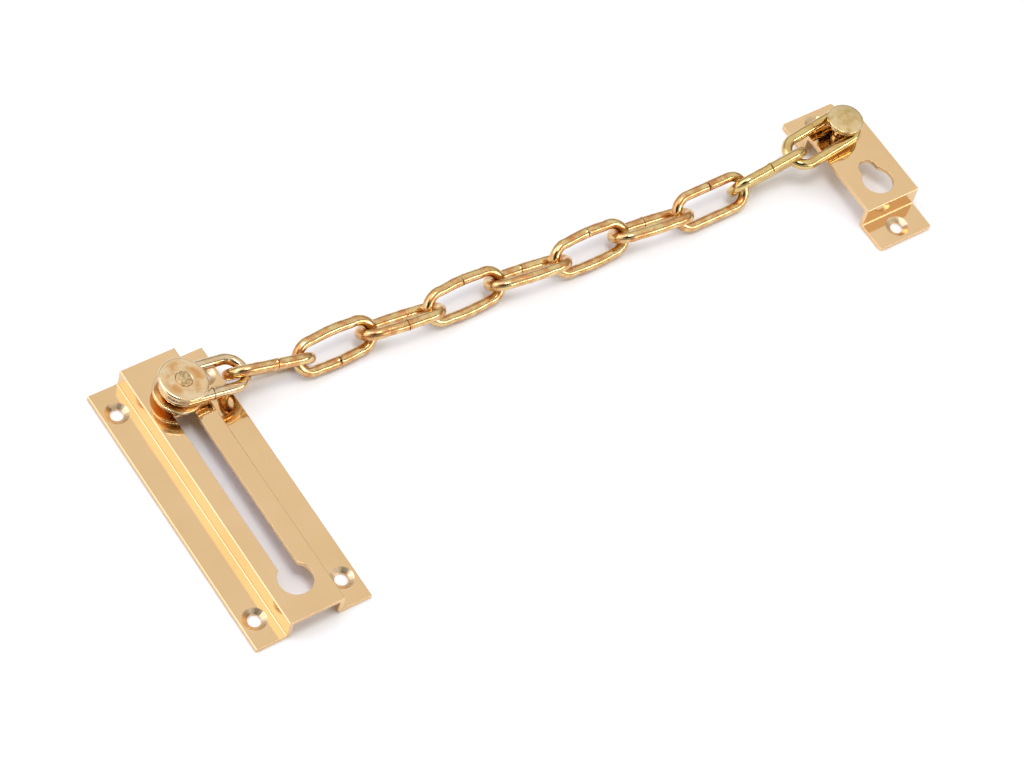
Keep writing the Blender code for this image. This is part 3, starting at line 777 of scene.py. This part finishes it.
def rings_group():
    """Fine rings of a lathe tool about the z axis of the vector."""
    inputs = [("Vector", "NodeSocketVector", None), ("Rings", "NodeSocketFloat", 2600.0)]
    tree, source, target = new_group("lathe rings", inputs, [("Height", "NodeSocketFloat")])
    flatten = node_in(tree, "ShaderNodeVectorMath", -650, 0, operation="MULTIPLY")
    flatten.inputs[1].default_value = (1.0, 1.0, 0.0)
    radius = node_in(tree, "ShaderNodeVectorMath", -450, 0, operation="LENGTH")
    scaled = node_in(tree, "ShaderNodeMath", -250, 0, operation="MULTIPLY")
    uneven = node_in(tree, "ShaderNodeTexNoise", -50, 0, noise_dimensions="1D")
    uneven.inputs["Scale"].default_value = 1.0
    uneven.inputs["Detail"].default_value = 5.0
    tree.links.new(source.outputs["Vector"], flatten.inputs[0])
    tree.links.new(flatten.outputs[0], radius.inputs[0])
    tree.links.new(radius.outputs["Value"], scaled.inputs[0])
    tree.links.new(source.outputs["Rings"], scaled.inputs[1])
    tree.links.new(scaled.outputs[0], uneven.inputs["W"])
    tree.links.new(uneven.outputs[0], target.inputs["Height"])
    return tree


def chatter_group():
    """Streaks that a countersink bit leaves round a hole, for holes that lie in mirror about a middle."""
    inputs = [
        ("Vector", "NodeSocketVector", None),
        ("Middle", "NodeSocketVector", None),
        ("Hole", "NodeSocketVector", None),
        ("Streaks", "NodeSocketFloat", 7.0),
    ]
    tree, source, target = new_group("countersink chatter", inputs, [("Height", "NodeSocketFloat")])
    moved = node_in(tree, "ShaderNodeVectorMath", -700, 0, operation="SUBTRACT")
    folded = node_in(tree, "ShaderNodeVectorMath", -550, 0, operation="ABSOLUTE")
    centred = node_in(tree, "ShaderNodeVectorMath", -400, 0, operation="SUBTRACT")
    parts = node_in(tree, "ShaderNodeSeparateXYZ", -250, 0)
    angle = node_in(tree, "ShaderNodeMath", -100, 0, operation="ARCTAN2")
    scaled = node_in(tree, "ShaderNodeMath", 50, 0, operation="MULTIPLY")
    streak = node_in(tree, "ShaderNodeTexNoise", 250, 0, noise_dimensions="1D")
    streak.inputs["Scale"].default_value = 1.0
    streak.inputs["Detail"].default_value = 3.0
    tree.links.new(source.outputs["Vector"], moved.inputs[0])
    tree.links.new(source.outputs["Middle"], moved.inputs[1])
    tree.links.new(moved.outputs[0], folded.inputs[0])
    tree.links.new(folded.outputs[0], centred.inputs[0])
    tree.links.new(source.outputs["Hole"], centred.inputs[1])
    tree.links.new(centred.outputs[0], parts.inputs[0])
    tree.links.new(parts.outputs["Y"], angle.inputs[0])
    tree.links.new(parts.outputs["X"], angle.inputs[1])
    tree.links.new(angle.outputs[0], scaled.inputs[0])
    tree.links.new(source.outputs["Streaks"], scaled.inputs[1])
    tree.links.new(scaled.outputs[0], streak.inputs["W"])
    tree.links.new(streak.outputs[0], target.inputs["Height"])
    return tree


def tarnish_group():
    """A warm stain in a broken ring about the z axis of the vector."""
    inputs = [
        ("Vector", "NodeSocketVector", None),
        ("Radius", "NodeSocketFloat", 0.005),
        ("Reach", "NodeSocketFloat", 0.003),
    ]
    tree, source, target = new_group("tarnish ring", inputs, [("Stain", "NodeSocketFloat")])
    flatten = node_in(tree, "ShaderNodeVectorMath", -700, 100, operation="MULTIPLY")
    flatten.inputs[1].default_value = (1.0, 1.0, 0.0)
    radius = node_in(tree, "ShaderNodeVectorMath", -550, 100, operation="LENGTH")
    away = node_in(tree, "ShaderNodeMath", -400, 100, operation="SUBTRACT")
    whole = node_in(tree, "ShaderNodeMath", -250, 100, operation="ABSOLUTE")
    share = node_in(tree, "ShaderNodeMath", -100, 100, operation="DIVIDE")
    fade = node_in(tree, "ShaderNodeMapRange", 50, 100, interpolation_type="SMOOTHSTEP")
    fade.inputs["To Min"].default_value = 1.0
    fade.inputs["To Max"].default_value = 0.0
    broken = node_in(tree, "ShaderNodeTexNoise", -400, -150)
    broken.inputs["Scale"].default_value = 260.0
    broken.inputs["Detail"].default_value = 4.0
    sharper = node_in(tree, "ShaderNodeMapRange", 50, -150)
    sharper.inputs["From Min"].default_value = 0.40
    sharper.inputs["From Max"].default_value = 0.56
    both = node_in(tree, "ShaderNodeMath", 300, 0, operation="MULTIPLY")
    tree.links.new(source.outputs["Vector"], flatten.inputs[0])
    tree.links.new(flatten.outputs[0], radius.inputs[0])
    tree.links.new(radius.outputs["Value"], away.inputs[0])
    tree.links.new(source.outputs["Radius"], away.inputs[1])
    tree.links.new(away.outputs[0], whole.inputs[0])
    tree.links.new(whole.outputs[0], share.inputs[0])
    tree.links.new(source.outputs["Reach"], share.inputs[1])
    tree.links.new(share.outputs[0], fade.inputs["Value"])
    tree.links.new(source.outputs["Vector"], broken.inputs["Vector"])
    tree.links.new(broken.outputs[0], sharper.inputs["Value"])
    tree.links.new(fade.outputs["Result"], both.inputs[0])
    tree.links.new(sharper.outputs["Result"], both.inputs[1])
    tree.links.new(both.outputs[0], target.inputs["Stain"])
    return tree


class Finish:
    """A metallic material whose tone, gloss and relief come from masks over the surface."""

    def __init__(self, name):
        self.material = bpy.data.materials.new(name)
        self.material.use_nodes = True
        self.tree = self.material.node_tree
        self.shader = self.tree.nodes["Principled BSDF"]
        self.shader.inputs["Metallic"].default_value = 1.0
        self.place = node_in(self.tree, "ShaderNodeTexCoord", -1400, 0).outputs["Object"]

    def mapped(self, location, turn):
        """Object coordinates seen from a piece's own axis."""
        node = node_in(self.tree, "ShaderNodeMapping", -1200, -300, vector_type="TEXTURE")
        node.inputs["Location"].default_value = location
        node.inputs["Rotation"].default_value = turn
        self.tree.links.new(self.place, node.inputs["Vector"])
        return node.outputs["Vector"]

    def group(self, tree, **values):
        """A node group with its inputs set by name, where an underscore stands for a space."""
        node = node_in(self.tree, "ShaderNodeGroup", -900, 0, node_tree=tree)
        for key, value in values.items():
            label = key.replace("_", " ")
            if isinstance(value, bpy.types.NodeSocket):
                self.tree.links.new(value, node.inputs[label])
            else:
                node.inputs[label].default_value = value
        return node

    def tone(self, mask, tones):
        """Colour that runs from the first tone to the second as the mask goes from 0 to 1."""
        mix = node_in(self.tree, "ShaderNodeMix", -300, 300, data_type="RGBA")
        mix.inputs["A"].default_value = (*tones[0], 1.0)
        mix.inputs["B"].default_value = (*tones[1], 1.0)
        self.tree.links.new(mask, mix.inputs["Factor"])
        colour = mix.outputs["Result"]
        self.tree.links.new(colour, self.shader.inputs["Base Color"])
        return colour

    def stained(self, clean, mask, stain):
        """Lays a second tone over the first where the mask says."""
        mix = node_in(self.tree, "ShaderNodeMix", -100, 300, data_type="RGBA")
        mix.inputs["B"].default_value = (*stain, 1.0)
        self.tree.links.new(mask, mix.inputs["Factor"])
        self.tree.links.new(clean, mix.inputs["A"])
        self.tree.links.new(mix.outputs["Result"], self.shader.inputs["Base Color"])

    def roughness(self, mask, start, end):
        """Roughness that runs from start to end as the mask goes from 0 to 1."""
        spread = node_in(self.tree, "ShaderNodeMapRange", -300, 0)
        spread.inputs["To Min"].default_value = start
        spread.inputs["To Max"].default_value = end
        self.tree.links.new(mask, spread.inputs["Value"])
        self.tree.links.new(spread.outputs["Result"], self.shader.inputs["Roughness"])

    def relief(self, height, depth, strength=1.0, under=None):
        """Lays a relief of a depth in millimetres over the surface or over the relief under it."""
        bump = node_in(self.tree, "ShaderNodeBump", -300, -300)
        bump.inputs["Strength"].default_value = strength
        bump.inputs["Distance"].default_value = depth * MM
        self.tree.links.new(height, bump.inputs["Height"])
        if under is not None:
            self.tree.links.new(under, bump.inputs["Normal"])
        self.tree.links.new(bump.outputs["Normal"], self.shader.inputs["Normal"])
        return bump.outputs["Normal"]


def polished_finish(handling):
    """Sheet polished along its length."""
    finish = Finish("polished sheet brass")
    use = finish.group(
        handling,
        Vector=finish.place,
        Blotch_Scale=28.0,
        Grain_Scale=1800.0,
        Grain_Stretch=(1.0, 0.12, 1.0),
    )
    finish.tone(use.outputs["Blotch"], SHEET_TONES)
    finish.roughness(use.outputs["Grain"], start=0.05, end=0.13)
    finish.relief(use.outputs["Grain"], depth=0.002)
    return finish.material


def sunk_finish(handling, chatter, middle, hole):
    """Cut cones round the holes that lie in mirror about a middle."""
    finish = Finish("countersunk brass")
    use = finish.group(handling, Vector=finish.place, Blotch_Scale=400.0, Grain_Scale=3000.0)
    cut_marks = finish.group(chatter, Vector=finish.place, Middle=middle, Hole=hole, Streaks=4.0)
    finish.tone(use.outputs["Blotch"], SUNK_TONES)
    finish.roughness(use.outputs["Grain"], start=0.24, end=0.34)
    finish.relief(cut_marks.outputs["Height"], depth=0.16, strength=0.6)
    return finish.material


def wire_finish(name, handling, tones, roughest):
    """Bright drawn wire with duller, redder patches."""
    finish = Finish(name)
    use = finish.group(handling, Vector=finish.place, Blotch_Scale=330.0, Grain_Scale=2200.0)
    small = finish.group(handling, Vector=finish.place, Blotch_Scale=700.0)
    finish.tone(use.outputs["Blotch"], tones)
    finish.roughness(use.outputs["Blotch"], start=roughest, end=0.08)
    dented = finish.relief(small.outputs["Blotch"], depth=0.035, strength=0.4)
    finish.relief(use.outputs["Grain"], depth=0.03, strength=0.4, under=dented)
    return finish.material


def turned_finish(name, groups, location, turn, tones, stain_tone):
    """Turned brass with lathe rings and a broken ring of tarnish about a piece's own axis."""
    handling, rings, tarnish = groups
    finish = Finish(name)
    own = finish.mapped(location, turn)
    use = finish.group(handling, Vector=finish.place, Blotch_Scale=380.0, Grain_Scale=1500.0)
    lathe = finish.group(rings, Vector=own, Rings=4200.0)
    clean = finish.tone(use.outputs["Blotch"], tones)
    stain = finish.group(tarnish, Vector=own)
    finish.stained(clean, stain.outputs["Stain"], stain_tone)
    finish.roughness(use.outputs["Blotch"], start=0.14, end=0.28)
    ringed = finish.relief(lathe.outputs["Height"], depth=0.02, strength=0.5)
    finish.relief(use.outputs["Grain"], depth=0.03, strength=0.3, under=ringed)
    return finish.material


def hammered_finish(handling):
    finish = Finish("hammered brass")
    use = finish.group(handling, Vector=finish.place, Blotch_Scale=900.0, Grain_Scale=2600.0)
    finish.tone(use.outputs["Blotch"], HAMMERED_TONES)
    finish.roughness(use.outputs["Blotch"], start=0.22, end=0.45)
    finish.relief(use.outputs["Grain"], depth=0.12, strength=0.6)
    return finish.material


# Studio

def floor_material():
    material = bpy.data.materials.new("studio floor")
    material.use_nodes = True
    shader = material.node_tree.nodes["Principled BSDF"]
    shader.inputs["Base Color"].default_value = (FLOOR_TONE, FLOOR_TONE, FLOOR_TONE, 1.0)
    shader.inputs["Roughness"].default_value = FLOOR_ROUGHNESS
    return material


def make_floor():
    shape = bmesh.new()
    bmesh.ops.create_grid(shape, x_segments=1, y_segments=1, size=FLOOR_SIZE)
    bmesh.ops.translate(shape, vec=(0.0, 0.0, -FLOOR_DROP), verts=shape.verts)
    mesh = bpy.data.meshes.new("studio floor")
    shape.to_mesh(mesh)
    shape.free()
    mesh.materials.append(floor_material())
    floor = bpy.data.objects.new("studio_floor", mesh)
    bpy.context.scene.collection.objects.link(floor)


def make_camera():
    data = bpy.data.cameras.new("photo camera")
    data.lens = CAMERA_LENS
    data.sensor_width = CAMERA_SENSOR
    camera = bpy.data.objects.new("photo camera", data)
    camera.location = CAMERA_PLACE
    camera.rotation_euler = [math.radians(angle) for angle in CAMERA_TURN]
    bpy.context.scene.collection.objects.link(camera)
    bpy.context.scene.camera = camera


def soft_box(name, place, width, height, power, colour):
    data = bpy.data.lights.new(name, "AREA")
    data.shape = "RECTANGLE"
    data.size = width
    data.size_y = height
    data.energy = power
    data.color = colour
    light = bpy.data.objects.new(name, data)
    light.location = place
    light.rotation_euler = (-Vector(place)).to_track_quat("-Z", "Y").to_euler()
    bpy.context.scene.collection.objects.link(light)


def turned_to(tree, sky, side, reach, away, near, y):
    """A smooth change from one value to another as the view turns to a side of the tent."""
    facing = node_in(tree, "ShaderNodeVectorMath", -700, y, operation="DOT_PRODUCT")
    facing.inputs[1].default_value = Vector(side).normalized()
    change = node_in(tree, "ShaderNodeMapRange", -500, y, interpolation_type="SMOOTHSTEP")
    change.inputs["From Min"].default_value = reach[0]
    change.inputs["From Max"].default_value = reach[1]
    change.inputs["To Min"].default_value = away
    change.inputs["To Max"].default_value = near
    tree.links.new(sky, facing.inputs[0])
    tree.links.new(facing.outputs["Value"], change.inputs["Value"])
    return change.outputs["Result"]


def worked_out(tree, operation, first, second, x, y):
    """The result of a sum or product of two values."""
    node = node_in(tree, "ShaderNodeMath", x, y, operation=operation)
    tree.links.new(first, node.inputs[0])
    tree.links.new(second, node.inputs[1])
    return node.outputs[0]


def make_tent():
    """A white light tent: bright above and on one wall, dim elsewhere, dark round the lens and in front."""
    world = bpy.data.worlds.new("light tent")
    bpy.context.scene.world = world
    world.use_nodes = True
    tree = world.node_tree
    back = tree.nodes["Background"]
    sky = node_in(tree, "ShaderNodeTexCoord", -900, 0).outputs["Generated"]
    parts = node_in(tree, "ShaderNodeSeparateXYZ", -700, 0)
    rise = node_in(tree, "ShaderNodeMapRange", -500, 0, interpolation_type="SMOOTHSTEP")
    rise.inputs["From Min"].default_value = TENT_RISE[0]
    rise.inputs["From Max"].default_value = TENT_RISE[1]
    rise.inputs["To Min"].default_value = TENT_SIDE
    rise.inputs["To Max"].default_value = TENT_TOP
    tree.links.new(sky, parts.inputs[0])
    tree.links.new(parts.outputs["Z"], rise.inputs["Value"])
    lens = turned_to(tree, sky, CAMERA_PLACE, LENS_REACH, 1.0, LENS_SHADE, -250)
    wall = turned_to(tree, sky, WALL_SIDE, WALL_REACH, 0.0, WALL_GLOW, -500)
    front = turned_to(tree, sky, FRONT_SIDE, FRONT_REACH, 1.0, FRONT_SHADE, -750)
    shades = worked_out(tree, "MULTIPLY", lens, front, -300, -500)
    shaded = worked_out(tree, "MULTIPLY", rise.outputs["Result"], shades, -300, 0)
    total = worked_out(tree, "ADD", shaded, wall, -150, 0)
    tree.links.new(total, back.inputs["Strength"])
    back.inputs["Color"].default_value = (*WHITE, 1.0)


def make_studio():
    make_floor()
    make_tent()
    make_camera()
    soft_box("back card", *BACK_CARD, COOL)
    soft_box("top card", *TOP_CARD, WHITE)
    soft_box("front card", *FRONT_CARD, WHITE)
    bpy.context.scene.view_settings.view_transform = "Standard"


def box_middle(name):
    """Middle of a solid's box in plan, on the table, in millimetres."""
    low, high = (Vector(corner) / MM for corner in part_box(name))
    return Vector(((low.x + high.x) / 2.0, (low.y + high.y) / 2.0, 0.0))


def make_sunk_finishes(handling, plate, stud):
    """The countersinks' finish on the slide plate and on the keeper."""
    chatter = chatter_group()
    plate_hole = (PLATE_WIDTH / 2.0 - SCREW_FROM_SIDE, PLATE_LENGTH / 2.0 - SCREW_FROM_END, 0.0)
    plate_sunk = sunk_finish(handling, chatter, plate * MM, Vector(plate_hole) * MM)
    raised = KEEPER_LENGTH - 2.0 * KEEPER_FLANGE
    keeper = stud - Vector((0.0, raised / 2.0 - STUD_FROM_RAISED_END, 0.0))
    keeper_hole = (0.0, KEEPER_LENGTH / 2.0 - KEEPER_HOLE_FROM_END, 0.0)
    keeper_sunk = sunk_finish(handling, chatter, keeper * MM, Vector(keeper_hole) * MM)
    return plate_sunk, keeper_sunk


def make_wires(handling):
    """One finish for each link: pale at the runner, copper tinted between, yellow at the keeper."""
    pale = wire_finish("pale wire brass", handling, PALE_WIRE_TONES, 0.22)
    copper = wire_finish("copper tinted wire brass", handling, COPPER_WIRE_TONES, 0.30)
    yellow = wire_finish("yellow wire brass", handling, YELLOW_WIRE_TONES, 0.16)
    return [pale] + [copper] * (LINK_COUNT - 1 - YELLOW_LINKS) + [yellow] * YELLOW_LINKS


def main():
    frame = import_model()
    plate = box_middle("slide_plate")
    plate.y = 0.0
    stud = box_middle("keeper_stud")
    runner_y = PLATE_LENGTH / 2.0 - RUNNER_FROM_TOP
    pivot = plate + Vector((RUNNER_SHIFT, runner_y, CHANNEL_HEIGHT - SHEET / 2.0))
    lean = leaning(RUNNER_LEAN, RUNNER_DIP)

    handling = handling_group()
    groups = (handling, rings_group(), tarnish_group())
    polished = polished_finish(handling)
    plate_sunk, keeper_sunk = make_sunk_finishes(handling, plate, stud)
    wires = make_wires(handling)
    runner_place = (pivot * MM, lean.to_euler())
    runner_brass = turned_finish("turned runner brass", groups, *runner_place, RUNNER_TONES, RUNNER_STAIN)
    stud_place = (stud * MM, (0.0, 0.0, 0.0))
    stud_brass = turned_finish("turned stud brass", groups, *stud_place, STUD_TONES, STUD_STAIN)
    hammered = hammered_finish(handling)

    make_slide_plate(plate, polished, plate_sunk)
    make_runner(Matrix.Translation(pivot) @ lean, runner_brass, hammered)
    make_links(frame["nodes"], wires)
    make_keeper_plate(stud, polished, keeper_sunk)
    make_stud(stud, stud_brass)
    make_studio()


main()
